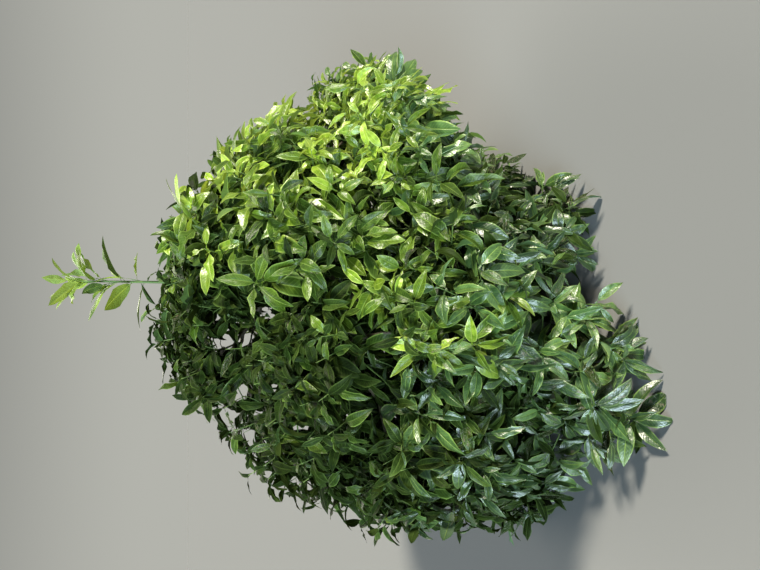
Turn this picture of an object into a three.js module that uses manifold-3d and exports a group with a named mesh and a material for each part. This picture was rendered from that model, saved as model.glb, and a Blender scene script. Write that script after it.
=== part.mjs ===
// Grapefruit tree: a low, dense tree with foliage down to the ground.
// Millimetres, +Z up, the front of the crown faces -Y. The origin is the centre of the trunk's flat cut.
import * as THREE from 'three';
import { mergeVertices } from 'three/addons/utils/BufferGeometryUtils.js';
import Module from 'manifold-3d';

const wasm = await Module();
wasm.setup();

// Crown
const crownWidth = 2050;
const crownDepth = 2000;
const crownTop = 1625;
const widestHeight = 600;
const shoulderPower = 0.82; // 0.5 would be an ellipse, more is more pointed
const skirtTuck = 0.05; // share of the radius that the crown draws in at the ground
const groundGap = 6;
const seam = 0.3; // gap between two faces that touch
const entryGap = 0.5; // gap between a limb and the mass or limb that it meets

// Where the crown swells out or draws in. Azimuth 0 is the front and 90 is the right side.
const swells = [
  { azimuth: 82, height: 675, out: 100, spread: 32, tall: 200 }, // the lobe that stands out to the right
  { azimuth: 80, height: 230, out: -290, spread: 52, tall: 240 }, // the notch under that lobe
  { azimuth: 44, height: 240, out: -150, spread: 28, tall: 280 }, // the crown draws in at the front right
  { azimuth: -20, height: 20, out: 125, spread: 25, tall: 150 }, // a low spray that runs out to the ground
  { azimuth: -72, height: 200, out: 25, spread: 26, tall: 160 }, // the low cluster at the left
  { azimuth: -90, height: 950, out: -75, spread: 55, tall: 420 }, // the left side stands upright
  { azimuth: 62, height: 1330, out: 70, spread: 40, tall: 170 }, // the bright shoulder at the upper right
  { azimuth: -75, height: 1480, out: -90, spread: 60, tall: 220 }, // the top slopes off to the left
];

// Foliage: rings of masses round a space that holds only boughs
const rings = [
  { name: 'skirt', count: 8, height: 205, inside: 350, tall: 325, turn: -20 },
  { name: 'waist', count: 8, height: 640, inside: 390, tall: 315, turn: 2 },
  { name: 'shoulder', count: 6, height: 1055, inside: 260, tall: 300, turn: -24 },
  { name: 'top', count: 3, height: 1365, inside: -20, tall: 290, turn: 40 },
];
const ringWander = 45; // how far a mass sits above or below its ring
const sideOverlap = 1.42; // how far a mass would run into its neighbours, if it weren't parted from them
const outwardOverlap = 1.07; // the same for the outside of the crown
const massDetail = 3;
const outlineSteps = 12; // halvings that find the crown's outline

// The random numbers of a mass start from the number of its ring and its place in the ring
const ringSeed = 97;
const placeSeed = 13;
const firstSeed = 5;

// Shape of a mass: a rounded box of this power, with lumps and hollows
const massPower = 2.7;
const lumpCount = 22;
const lumpSharpness = 16;
const lumpLeast = -0.17;
const lumpMost = 0.16;
const lumpTurn = 1.2; // how far a lump may turn from its even place, in radians

// The upright shoot that stands over the crown, and its leafy head
const shootPlace = new THREE.Vector3(95, -60, 0);
const shootRadius = 7;
const shootHead = { height: 1770, wide: 108, tall: 140 };
const shootDepth = 150; // how far under the crown's top its stem starts
const shootBow = 6; // how far its stem bows to the left
const shootTaper = 0.8;
const shootSeed = 7;

// Trunk
const trunkHeight = 300;
const trunkRadius = 43;
const forkSwell = 14;
const forkPower = 6; // how suddenly it swells at the fork
const ringPower = 1.5; // its rings crowd towards the ground
const flareReach = 30;
const flareHeight = 55;
const rootRidges = 5;
const rootRidgeDepth = 0.13;
const trunkLean = new THREE.Vector3(-16, -8, 0);
const trunkSides = 20;
const trunkSteps = 6;

// Boughs: where each leaves the trunk, its radius there and at its tip, and how far it arches
const boughSides = 8;
const boughSteps = 6;
const lowBough = { start: 205, foot: 24, tip: 14, arch: 75 };
const highBough = { start: 250, foot: 26, tip: 13, arch: 90 };
const leader = { start: 262, foot: 28, tip: 14, arch: 30 };
const spreadAtFork = 20;
const archBack = 0.5; // share of its arch that a bough's middle stands back by

const barkLook = { color: 0x6b5f4b, roughness: 0.9, metalness: 0 };
const greenBarkLook = { color: 0x5f7a35, roughness: 0.6, metalness: 0 };
const deepLeaf = { color: 0x1d3a1f, roughness: 0.42, metalness: 0 };
const midLeaf = { color: 0x2f5c26, roughness: 0.4, metalness: 0 };
const brightLeaf = { color: 0x6f9a35, roughness: 0.4, metalness: 0 };
const youngLeaf = { color: 0x7fa848, roughness: 0.4, metalness: 0 };

// Where the foliage is yellow-green, and the height under which it is dark
const brightAzimuth = 75;
const brightSpread = 40;
const deepBelow = 400;

const tree = new THREE.Group();

function seededRandom(seed) {
  let state = seed;
  return () => {
    state = (state * 1664525 + 1013904223) % 4294967296;
    return state / 4294967296;
  };
}

function toSolid(geometry) {
  const bare = geometry.clone();
  bare.deleteAttribute('normal');
  bare.deleteAttribute('uv');
  const merged = mergeVertices(bare, 1e-3);
  const mesh = new wasm.Mesh({
    numProp: 3,
    vertProperties: new Float32Array(merged.attributes.position.array),
    triVerts: new Uint32Array(merged.index.array),
  });
  return new wasm.Manifold(mesh);
}

function toGeometry(solid) {
  const mesh = solid.getMesh();
  const geometry = new THREE.BufferGeometry();
  geometry.setAttribute('position', new THREE.BufferAttribute(mesh.vertProperties, 3));
  geometry.setIndex(new THREE.BufferAttribute(mesh.triVerts, 1));
  geometry.computeVertexNormals();
  return geometry;
}

function addNode(name, solid, look) {
  const mesh = new THREE.Mesh(toGeometry(solid), new THREE.MeshStandardMaterial(look));
  mesh.name = name;
  tree.add(mesh);
}

function cutBy(solid, cutters) {
  return cutters.reduce((rest, cutter) => rest.subtract(cutter), solid);
}

// A direction in plan: 0 degrees is the front (-Y) and 90 is the right side (+X)
function compass(azimuth) {
  const angle = THREE.MathUtils.degToRad(azimuth);
  return new THREE.Vector3(Math.sin(angle), -Math.cos(angle), 0);
}

function azimuthOf(point) {
  return THREE.MathUtils.radToDeg(Math.atan2(point.x, -point.y));
}

function turnBetween(a, b) {
  return Math.abs(((a - b + 540) % 360) - 180);
}

// Distance from the crown's axis to its outside
function outlineRadius(azimuth, height) {
  const way = compass(azimuth);
  const plan = 1 / Math.hypot(way.x / (crownWidth / 2), way.y / (crownDepth / 2));
  const above = (height - widestHeight) / (crownTop - widestHeight);
  const below = (widestHeight - height) / widestHeight;
  const shoulder = Math.max(1 - above ** 2, 0) ** shoulderPower;
  let radius = plan * (above > 0 ? shoulder : 1 - skirtTuck * below ** 2);
  for (const swell of swells) {
    const turn = turnBetween(azimuth, swell.azimuth) / swell.spread;
    const rise = (height - swell.height) / swell.tall;
    radius += swell.out * shoulder * Math.exp(-(turn ** 2 + rise ** 2));
  }
  return radius;
}

function insideCrown(point) {
  const out = Math.hypot(point.x, point.y);
  return point.z < crownTop && out < outlineRadius(azimuthOf(point), point.z);
}

// Lumps and hollows spread evenly over a mass, each of a random size
function makeLumps(random) {
  const lumps = [];
  for (let i = 0; i < lumpCount; i += 1) {
    const up = 1 - (2 * (i + 0.5)) / lumpCount;
    const around = i * Math.PI * (3 - Math.sqrt(5)) + random() * lumpTurn;
    const flat = Math.sqrt(1 - up * up);
    const way = new THREE.Vector3(flat * Math.cos(around), flat * Math.sin(around), up);
    lumps.push({ way, size: lumpLeast + (lumpMost - lumpLeast) * random() });
  }
  return lumps;
}

// A mass's own surface: its distance from the mass's middle in each direction
function makeMass({ name, look, azimuth, centre, thick, wide, tall, random, inCrown }) {
  const radial = compass(azimuth);
  const sideways = compass(azimuth + 90);
  const lumps = makeLumps(random);
  const whole = (way) => {
    const sum =
      Math.abs(way.dot(radial) / thick) ** massPower +
      Math.abs(way.dot(sideways) / wide) ** massPower +
      Math.abs(way.z / tall) ** massPower;
    return sum ** (-1 / massPower);
  };
  const withinCrown = (way) => {
    let least = 0;
    let most = whole(way);
    if (!inCrown || insideCrown(centre.clone().addScaledVector(way, most))) return most;
    for (let i = 0; i < outlineSteps; i += 1) {
      const middle = (least + most) / 2;
      if (insideCrown(centre.clone().addScaledVector(way, middle))) least = middle;
      else most = middle;
    }
    return least;
  };
  const reach = (way) => {
    let radius = withinCrown(way);
    for (const lump of lumps) {
      radius *= 1 + lump.size * Math.exp(lumpSharpness * (way.dot(lump.way) - 1));
    }
    return radius;
  };
  return { name, look, centre, reach };
}

function leafLook(azimuth, height) {
  if (height < deepBelow) return deepLeaf;
  return turnBetween(azimuth, brightAzimuth) < brightSpread ? brightLeaf : midLeaf;
}

function ringMasses(ring, ringNumber) {
  const masses = [];
  for (let i = 0; i < ring.count; i += 1) {
    const random = seededRandom(ringSeed * ringNumber + placeSeed * i + firstSeed);
    const azimuth = ring.turn + (i * 360) / ring.count;
    const height = ring.height + ringWander * (2 * random() - 1);
    const outside = outlineRadius(azimuth, height);
    const middle = (outside + ring.inside) / 2;
    const centre = compass(azimuth).multiplyScalar(middle).setZ(height);
    masses.push(
      makeMass({
        name: `${ring.name}_mass_${i + 1}`,
        look: leafLook(azimuth, height),
        azimuth,
        centre,
        thick: ((outside - ring.inside) / 2) * outwardOverlap,
        wide: ((Math.PI * middle) / ring.count) * sideOverlap,
        tall: ring.tall,
        random,
        inCrown: true,
      }),
    );
  }
  return masses;
}

function shootMass() {
  return makeMass({
    name: 'shoot_mass',
    look: youngLeaf,
    azimuth: 0,
    centre: shootPlace.clone().setZ(shootHead.height),
    thick: shootHead.wide,
    wide: shootHead.wide,
    tall: shootHead.tall,
    random: seededRandom(shootSeed),
    inCrown: false,
  });
}

// The flat seams between a mass and its neighbours, and the ground under it
function partings(mass, masses) {
  const planes = [{ normal: new THREE.Vector3(0, 0, -1), distance: mass.centre.z - groundGap }];
  for (const other of masses) {
    if (other === mass) continue;
    const normal = other.centre.clone().sub(mass.centre);
    const apart = normal.length();
    normal.normalize();
    const own = mass.reach(normal);
    const theirs = other.reach(normal.clone().negate());
    planes.push({ normal, distance: (apart * own) / (own + theirs) - seam / 2 });
  }
  return planes;
}

// The mass's surface, pushed out by `swell` for cutting whatever meets it
function massSolid(mass, planes, swell) {
  const geometry = new THREE.IcosahedronGeometry(1, massDetail);
  const points = geometry.attributes.position;
  const way = new THREE.Vector3();
  for (let i = 0; i < points.count; i += 1) {
    way.fromBufferAttribute(points, i).normalize();
    let radius = mass.reach(way);
    for (const plane of planes) {
      const facing = way.dot(plane.normal);
      if (facing > 0) radius = Math.min(radius, plane.distance / facing);
    }
    way.multiplyScalar(radius + swell).add(mass.centre);
    points.setXYZ(i, way.x, way.y, way.z);
  }
  return toSolid(geometry);
}

// A round tapering limb along a smooth curve through the given points
function limbSolid(points, foot, tip, swell) {
  const curve = new THREE.CatmullRomCurve3(points);
  const frames = curve.computeFrenetFrames(boughSteps, false);
  const geometry = new THREE.CylinderGeometry(1, 1, 1, boughSides, boughSteps);
  const corners = geometry.attributes.position;
  for (let i = 0; i < corners.count; i += 1) {
    const step = Math.round((corners.getY(i) + 0.5) * boughSteps);
    const radius = foot + ((tip - foot) * step) / boughSteps + swell;
    const place = curve.getPointAt(step / boughSteps);
    place.addScaledVector(frames.normals[step], -corners.getX(i) * radius);
    place.addScaledVector(frames.binormals[step], corners.getZ(i) * radius);
    corners.setXYZ(i, place.x, place.y, place.z);
  }
  return toSolid(geometry);
}

function leanAt(height) {
  return trunkLean.clone().multiplyScalar(height / trunkHeight);
}

// A leaning trunk that flares into root ridges at the ground and swells where it forks
function trunkSolid(swell) {
  const geometry = new THREE.CylinderGeometry(1, 1, 1, trunkSides, trunkSteps);
  const corners = geometry.attributes.position;
  for (let i = 0; i < corners.count; i += 1) {
    const share = corners.getY(i) + 0.5;
    const height = trunkHeight * share ** ringPower;
    const angle = Math.atan2(corners.getZ(i), corners.getX(i));
    const flare = Math.exp(-height / flareHeight);
    const ridge = 1 + rootRidgeDepth * flare * Math.cos(rootRidges * angle);
    const radius = (trunkRadius + flareReach * flare) * ridge + forkSwell * share ** forkPower + swell;
    const lean = leanAt(height);
    const x = lean.x + corners.getX(i) * radius;
    const y = lean.y - corners.getZ(i) * radius;
    corners.setXYZ(i, x, y, height + swell * (2 * share - 1));
  }
  return toSolid(geometry);
}

// A bough leaves the fork steeply, arches over and aims at the middle of a mass
function boughPath(kind, target) {
  const start = leanAt(kind.start).setZ(kind.start);
  const level = target.clone().sub(start).setZ(0).normalize();
  start.addScaledVector(level, spreadAtFork);
  const middle = start.clone().lerp(target, 0.5);
  middle.addScaledVector(level, -kind.arch * archBack);
  middle.z += kind.arch;
  return [start, middle, target.clone()];
}

const masses = [...rings.flatMap(ringMasses), shootMass()];
const cells = masses.map((mass) => partings(mass, masses));
const swollenMasses = masses.map((mass, i) => massSolid(mass, cells[i], entryGap));

function massNamed(name) {
  return masses.find((mass) => mass.name === name);
}

addNode('trunk', trunkSolid(0), barkLook);

const boughs = [
  ...[1, 3, 5, 7].map((i) => ({ kind: lowBough, to: `waist_mass_${i}` })),
  ...[1, 3, 5].map((i) => ({ kind: highBough, to: `shoulder_mass_${i}` })),
  { kind: leader, to: 'top_mass_2' },
];
const inTheWay = [trunkSolid(entryGap), ...swollenMasses];
boughs.forEach(({ kind, to }, i) => {
  const path = boughPath(kind, massNamed(to).centre);
  addNode(`bough_${i + 1}`, cutBy(limbSolid(path, kind.foot, kind.tip, 0), inTheWay), barkLook);
  inTheWay.push(limbSolid(path, kind.foot, kind.tip, entryGap));
});

const shootFoot = shootPlace.clone().setZ(crownTop - shootDepth);
const shootTop = shootPlace.clone().setZ(shootHead.height);
const shootMiddle = shootFoot.clone().lerp(shootTop, 0.5).add(new THREE.Vector3(-shootBow, 0, 0));
const shootStem = limbSolid([shootFoot, shootMiddle, shootTop], shootRadius, shootRadius * shootTaper, 0);
addNode('shoot_stem', cutBy(shootStem, swollenMasses), greenBarkLook);

masses.forEach((mass, i) => {
  addNode(mass.name, massSolid(mass, cells[i], 0), mass.look);
});

export default tree;
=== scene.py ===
"""Grapefruit tree: bark, branches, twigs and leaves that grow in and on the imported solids."""
import math
from collections import namedtuple
from dataclasses import dataclass
from itertools import product

import bpy
import numpy as np
from mathutils import Matrix, Vector, noise
from mathutils.bvhtree import BVHTree


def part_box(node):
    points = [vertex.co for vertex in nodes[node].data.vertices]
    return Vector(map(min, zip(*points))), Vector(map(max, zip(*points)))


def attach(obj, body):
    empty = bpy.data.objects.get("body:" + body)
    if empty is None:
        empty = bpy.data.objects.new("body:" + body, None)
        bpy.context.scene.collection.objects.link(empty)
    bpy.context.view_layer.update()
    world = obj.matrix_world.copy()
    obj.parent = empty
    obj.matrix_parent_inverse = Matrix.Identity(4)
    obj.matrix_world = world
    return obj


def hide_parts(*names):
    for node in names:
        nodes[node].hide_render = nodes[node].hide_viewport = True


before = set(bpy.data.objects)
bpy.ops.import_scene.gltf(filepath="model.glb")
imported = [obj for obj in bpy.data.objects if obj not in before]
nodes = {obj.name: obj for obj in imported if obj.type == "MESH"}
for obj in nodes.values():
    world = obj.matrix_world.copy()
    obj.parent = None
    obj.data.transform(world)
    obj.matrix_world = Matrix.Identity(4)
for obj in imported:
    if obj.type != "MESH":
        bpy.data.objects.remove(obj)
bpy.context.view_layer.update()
rng = np.random.default_rng(20)  # for the sprays and their leaves
wood_rng = np.random.default_rng(21)  # for the limbs

# The camera stands where the photograph was taken from, and is rolled as the camera was
PHOTO_WIDTH = 760  # pixels
FOCAL = 571  # pixels
SENSOR = 36.0  # millimetres
EYE = np.array((0.08, -2.40, 1.48))
PITCH = math.radians(20)

# The studio. A lamp has a name, an azimuth, an elevation, a colour, a strength and a breadth in degrees.
FLOOR_REACH = 60.0
FLOOR_COLOUR = (0.179, 0.1815, 0.180)
BACKDROP_COLOUR = (0.452, 0.455, 0.413)
CEILING_COLOUR = (0.05, 0.055, 0.06)
BACKDROP_FADE = (0.02, 0.60)  # sines of the elevations where the ceiling's colour begins and is full
LAMPS = [
    ("key", 66, 40, (1.0, 0.93, 0.78), 7.9, 9.0),
    ("sky", -30, 17, (0.68, 0.87, 1.0), 6.2, 35.0),
    ("back", 190, 34, (1.0, 0.95, 0.84), 2.4, 50.0),
]

UP = np.array([0.0, 0.0, 1.0])
GOLDEN = math.radians(137.5)
BAKE_MAP = "OFBake"
MAP_EDGE = 0.01  # free margin on a map
MAP_SPAN = 1 - 2 * MAP_EDGE

# Leaves, in metres
LEAF_LENGTH = 0.160
PETIOLE = 0.016
GROUND_GAP = 0.004  # the lowest that a leaf comes to the ground
BLADE_ROWS = np.array([0.07, 0.20, 0.35, 0.50, 0.65, 0.80, 0.92])
BLADE_COLUMNS = np.array([-1.0, -0.5, 0.0, 0.5, 1.0])
PETIOLE_ROWS = np.array([0.0, 0.55, 1.0])
PETIOLE_COLUMNS = np.array([-1, 0, 1])
PETIOLE_HALF_WIDTHS = np.array([0.0010, 0.0030, 0.0009])
# Numbers of the vertices at the blade's foot, first in the blade and at the tip
BLADE_FOOT, BLADE_FIRST, TIP = 7, 9, 44
ON_MIDRIB = np.zeros(TIP + 1, bool)
ON_MIDRIB[[BLADE_FOOT, *range(BLADE_FIRST + 2, TIP, 5), TIP]] = True
MOST_LEAVES = 2900  # in one piece

# A leaf material's map: how many looks it holds, which row of them is scarred, how much of a look's
# height the petiole takes and how many veins a look has on each side
MAP_COLUMNS, MAP_ROWS = 8, 4
SCARRED_ROW = 3
PETIOLE_SHARE = 0.09
VEINS = 13

# Layers of sprays: how far under the crown's surface they start, how far apart they stand, how many
# there may be, how many leaves each has and how much painted shade darkens their colours
Layer = namedtuple("Layer", "depth apart most leaves shade")
LAYERS = [
    Layer(0.125, 0.074, 1200, (7, 10), 0.0),
    Layer(0.210, 0.108, 620, (6, 8), 1.7),
    Layer(0.305, 0.125, 420, (5, 7), 2.5),
    Layer(0.420, 0.150, 260, (5, 7), 3.0),
]
SAMPLES = 40000  # places on the crown's surface that the sprays are chosen from
CROWN_MIDDLE = 0.75  # height of the crown's middle
LOBES = 4.6  # how fine the waves of the crown's surface are, in units of noise a metre
LOBE_GAP = -0.22  # the outer sprays are few where the wave is lower than this
FEATURE_ROOM = 0.10  # no outer spray stands closer to a shoot that stands out

# Dark hollows of the crown's surface, where no outer spray stands
HOLLOWS = np.array([
    (-0.41, -0.83, 0.77),
    (-0.21, -0.37, 1.34),
    (-0.24, -0.82, 0.95),
    (0.02, -0.51, 1.31),
    (0.55, -0.54, 1.16),
])
HOLLOW_RADIUS = 0.06

# Sprays inside the crown, in the dark colours of painted shade
INNER_TRIES = 900
INNER_MOST = 260
INNER_APART = 0.155
INNER_RADIUS = 0.62
INNER_HEIGHTS = (0.18, 1.35)
INNER_TOP = 1.75  # height where their radius would come to nothing

# A region of the crown: the azimuth (degrees) and height of its middle, how far it spreads from there
# in each, and what it adds to a value in its middle
Region = namedtuple("Region", "azimuth spread height rise gain")
OPEN_REGION = Region(-62, 42, 1.30, 0.17, 1.0)  # the upper left, where the sky shows through
# The foliage's tone is painted light and shade: a base, random patches, and regions that make the sunlit
# right lobe lighter and the shaded upper left, left edge and low right darker
TONE = 2.7  # index into the foliage's colours, before it is rounded
TONE_PATCHES = 1.6
PATCH_WAVES = 2.8  # units of noise a metre
TONE_REGIONS = [
    Region(44, 18, 0.94, 0.14, 4.4),
    Region(58, 44, 0.96, 0.34, 2.2),
    Region(48, 28, 1.36, 0.15, 2.3),
    Region(40, 20, 1.15, 0.07, -1.2),
    Region(16, 11, 1.16, 0.10, -1.0),
    Region(24, 12, 0.90, 0.10, -1.9),
    Region(34, 24, 0.34, 0.26, -2.0),
    Region(-16, 26, 0.38, 0.20, 0.8),
    Region(5, 18, 1.00, 0.14, 0.8),
    Region(-16, 18, 0.70, 0.12, 1.0),
    Region(-55, 70, 1.56, 0.50, -5.8),
    Region(-80, 52, 0.62, 0.70, -3.6),
]
SIZE = 0.99
SIZE_REGIONS = [
    Region(5, 28, 0.90, 0.26, -0.22),
    Region(-40, 40, 1.35, 0.22, -0.28),
    Region(40, 20, 1.22, 0.16, 0.10),
    Region(56, 30, 0.92, 0.24, -0.20),
]

# Shoots that stand out: the azimuth and height where they grow, how they rise, their leaves' number,
# colour, which paints the light and shade there, and size, how they lean aside, how their leaves hang,
# the share that is scarred, their length and how far from the axis they start, if that isn't read from
# the crown's surface
Feature = namedtuple(
    "Feature",
    "azimuth height rise leaves tone size aside droop scarred length far",
    defaults=(0.0, 0.3, 0.1, 0.06, None),
)
FEATURES = [
    Feature(-21, 0.05, 2.60, 10, 1, 1.15, droop=0.0, length=0.03, far=0.985),
    Feature(-18, 0.20, 0.55, 9, 1, 1.15, droop=0.75, scarred=0.5, far=0.935),
    Feature(-7, 0.76, 0.55, 8, 3, 1.00),
    Feature(-6, 0.64, 0.10, 7, 4, 1.10, droop=0.5),
    Feature(-26, 0.52, 0.20, 7, 2, 1.05, droop=0.5),
    Feature(1, 0.30, -0.20, 6, 3, 1.10, droop=1.0, scarred=0.6),
    Feature(1, 0.15, -0.20, 4, 3, 1.00, droop=1.2, scarred=0.6),
    Feature(16, 0.90, 0.45, 8, 3, 1.00, aside=0.4),
    Feature(9, 1.20, 0.70, 8, 3, 1.05, aside=-0.3),
    Feature(34, 1.22, 0.90, 9, 4, 0.95, aside=0.5),
    Feature(24, 1.32, 1.60, 8, 4, 0.85, aside=0.2),
    Feature(68, 1.08, 1.30, 5, 5, 1.00, length=0.09),
    Feature(52, 0.62, -0.10, 6, 5, 1.10, droop=0.8),
    Feature(-68, 1.26, 0.90, 4, 5, 1.05, droop=0.1),
]
FEATURE_DEPTH = 0.10  # how far under the crown's surface they start
FEATURE_REACH = 0.025  # how far their leaves reach past it
# Low shoots take cool colours, a painted reflection of the sky
COOL_HEIGHT = 0.55  # those lower than this have cool colours, if they aren't bright

# Openings that let the sky through to the photograph's viewpoint: a place in each on the crown's
# surface, and how far they reach aside and up from there, leaves' own breadth included
SkyGap = namedtuple("SkyGap", "spot aside up")
SKY_GAPS = [
    SkyGap((-0.35, -0.43, 1.28), 0.015, 0.020),
    SkyGap((-0.25, -0.55, 1.27), 0.011, 0.029),
    SkyGap((-0.32, -0.58, 1.22), 0.020, 0.015),
    SkyGap((-0.35, -0.69, 1.10), 0.018, 0.027),
    SkyGap((-0.42, -0.45, 1.23), 0.018, 0.017),
    SkyGap((-0.12, -0.30, 1.30), 0.018, 0.048),
    SkyGap((-0.09, -0.60, 1.25), 0.015, 0.026),
    SkyGap((-0.03, -0.46, 1.34), 0.015, 0.022),
    SkyGap((-0.01, -0.64, 1.20), 0.014, 0.028),
    SkyGap((-0.23, -0.66, 1.18), 0.017, 0.014),
    SkyGap((-0.33, -0.74, 0.82), 0.013, 0.013),
]

# Wood, in metres
FORK_HEIGHT = 0.26  # where the boughs leave the trunk
BOUGH_DEPTHS = (0.19, 0.10)  # how far under the fork they start inside it
BOUGH_STEPS, BOUGH_SIDES = 48, 22
TRUNK_RINGS, TRUNK_SIDES = 46, 88
DOME_HEIGHT = 0.01
DOME_ANGLES = (0.5, 0.95, 1.3)
TWIG_RADIUS = 0.0017
PIPE_POWER = 2.4
WOODY_RADIUS = 0.0042  # thinner twigs are green
TWIG_STEP, BRANCH_STEP = 0.035, 0.018
TWIG_SIDES, BRANCH_SIDES = 5, 10
LOWEST_TWIG = 0.012  # height of the lowest twig's middle
TWIG_MAP_LENGTH = 1.4  # length of twig that the height of the twigs' map stands for
STEM_RADII = (0.0095, 0.0030)  # of the water shoot's stem at its foot and top
SHOOT_SPRAYS = 6


def unit(vector):
    return vector / np.maximum(np.linalg.norm(vector, axis=-1, keepdims=True), 1e-9)


def lengths(vectors):
    return np.linalg.norm(vectors, axis=-1)


def compass(azimuth):
    """A direction in plan: 0 degrees is the front (-Y) and 90 is the right side (+X)."""
    angle = np.radians(azimuth)
    return np.array([np.sin(angle), -np.cos(angle), 0.0])


def azimuth_of(point):
    return math.degrees(math.atan2(point[0], -point[1]))


def turn_between(a, b):
    return abs((a - b + 540) % 360 - 180)


def square_to(axis, guide):
    """Two directions square to an axis and to each other. The guide is the axis or near to it."""
    helper = np.eye(3)[np.argmin(np.abs(guide))]
    side = unit(np.cross(axis, helper))
    return side, np.cross(axis, side)


def distances(path):
    """How far along a path each of its points is."""
    return np.concatenate([[0], np.cumsum(lengths(np.diff(path, axis=0)))])


# Reading the solids


def solid_arrays(name):
    mesh = nodes[name].data
    mesh.calc_loop_triangles()
    points = np.array([vertex.co for vertex in mesh.vertices], float)
    return points, np.array([triangle.vertices for triangle in mesh.loop_triangles])


def joined_corners(points, corners):
    """The corners of several shapes, numbered on from one shape to the next."""
    first = np.cumsum([0] + [len(own) for own in points[:-1]])
    return np.concatenate([own + start for own, start in zip(corners, first)])


def solid_tree(names):
    points, corners = zip(*[solid_arrays(name) for name in names])
    return BVHTree.FromPolygons(np.concatenate(points).tolist(), joined_corners(points, corners).tolist())


mass_names = sorted(name for name in nodes if "mass" in name)
bough_names = sorted(name for name in nodes if name.startswith("bough"))
crown = solid_tree([name for name in mass_names if name != "shoot_mass"])


# Meshes from arrays


def new_object(name, data):
    made = bpy.data.objects.new(name, data)
    bpy.context.scene.collection.objects.link(made)
    return made


def make_object(name, material, points, corners, sizes, map_places=None, ridge=None):
    """A smooth mesh from flat arrays: corners holds each face's vertices in turn, sizes their counts.

    Ridge is true for the vertices that a crease runs along.
    """
    mesh = bpy.data.meshes.new(name)
    mesh.vertices.add(len(points))
    mesh.vertices.foreach_set("co", np.asarray(points, np.float32).ravel())
    mesh.loops.add(len(corners))
    mesh.loops.foreach_set("vertex_index", np.asarray(corners, np.int32))
    mesh.polygons.add(len(sizes))
    starts = np.concatenate([[0], np.cumsum(sizes)[:-1]])
    mesh.polygons.foreach_set("loop_start", starts.astype(np.int32))
    mesh.update(calc_edges=True)
    if map_places is not None:
        layer = mesh.uv_layers.new(name=BAKE_MAP)
        layer.uv.foreach_set("vector", np.asarray(map_places, np.float32).ravel())
    mesh.shade_smooth()
    if ridge is not None:
        ends = np.empty(len(mesh.edges) * 2, np.int32)
        mesh.edges.foreach_get("vertices", ends)
        marks = mesh.attributes.new("sharp_edge", "BOOLEAN", "EDGE")
        marks.data.foreach_set("value", ridge[ends.reshape(-1, 2)].all(1))
    mesh.materials.append(material)
    return new_object(name, mesh)


# Materials


class Shader:
    """Short calls that make the nodes of a material or of the world."""

    def __init__(self, owner):
        owner.use_nodes = True
        self.owner = owner
        self.tree = owner.node_tree

    def put(self, socket, value):
        if isinstance(value, bpy.types.NodeSocket):
            self.tree.links.new(value, socket)
        elif value is not None:
            socket.default_value = (*value, 1.0) if socket.type == "RGBA" else value

    def node(self, kind, inputs=(), output=0, **settings):
        """One output of a new node, or all of them. Its inputs are given in turn or by name.

        Its kind is the name of its type without ShaderNode in front.
        """
        made = self.tree.nodes.new(f"ShaderNode{kind}")
        for key, value in settings.items():
            setattr(made, key, value)
        for key, value in inputs.items() if isinstance(inputs, dict) else enumerate(inputs):
            self.put(made.inputs[key], value)
        return made.outputs if output is None else made.outputs[output]

    def math(self, operation, *values):
        return self.node("Math", values, operation=operation)

    def times(self, a, b):
        return self.math("MULTIPLY", a, b)

    def ramp(self, value, low, high, out_low=0.0, out_high=1.0, kind="SMOOTHSTEP"):
        """Maps low..high to out_low..out_high and stops there."""
        return self.node("MapRange", (value, low, high, out_low, out_high), interpolation_type=kind)

    def mix(self, factor, a, b, blend="MIX"):
        inputs = {"Factor": factor, "A": a, "B": b}
        return self.node("Mix", inputs, "Result", data_type="RGBA", blend_type=blend)

    def noise(self, place, scale, detail=2.0, roughness=0.5):
        inputs = {"Vector": place, "Scale": scale, "Detail": detail, "Roughness": roughness}
        return self.node("TexNoise", inputs, "Fac")

    def vector(self, *values):
        return self.node("CombineXYZ", values)

    def split(self, vector):
        return self.node("SeparateXYZ", (vector,), None)

    def bump(self, height, strength, distance):
        return self.node("Bump", {"Strength": strength, "Distance": distance, "Height": height})

    def map_place(self):
        return self.split(self.node("UVMap", uv_map=BAKE_MAP))

    def principled(self, colour, roughness, normal=None, specular=None):
        inputs = {"Base Color": colour, "Roughness": roughness, "Normal": normal}
        return self.node("BsdfPrincipled", {**inputs, "Specular IOR Level": specular})

    def surface(self, shader):
        self.node("OutputMaterial", (shader,), None)
        return self.owner


def new_shader(name):
    made = Shader(bpy.data.materials.new(name))
    made.tree.nodes.clear()
    return made


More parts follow.
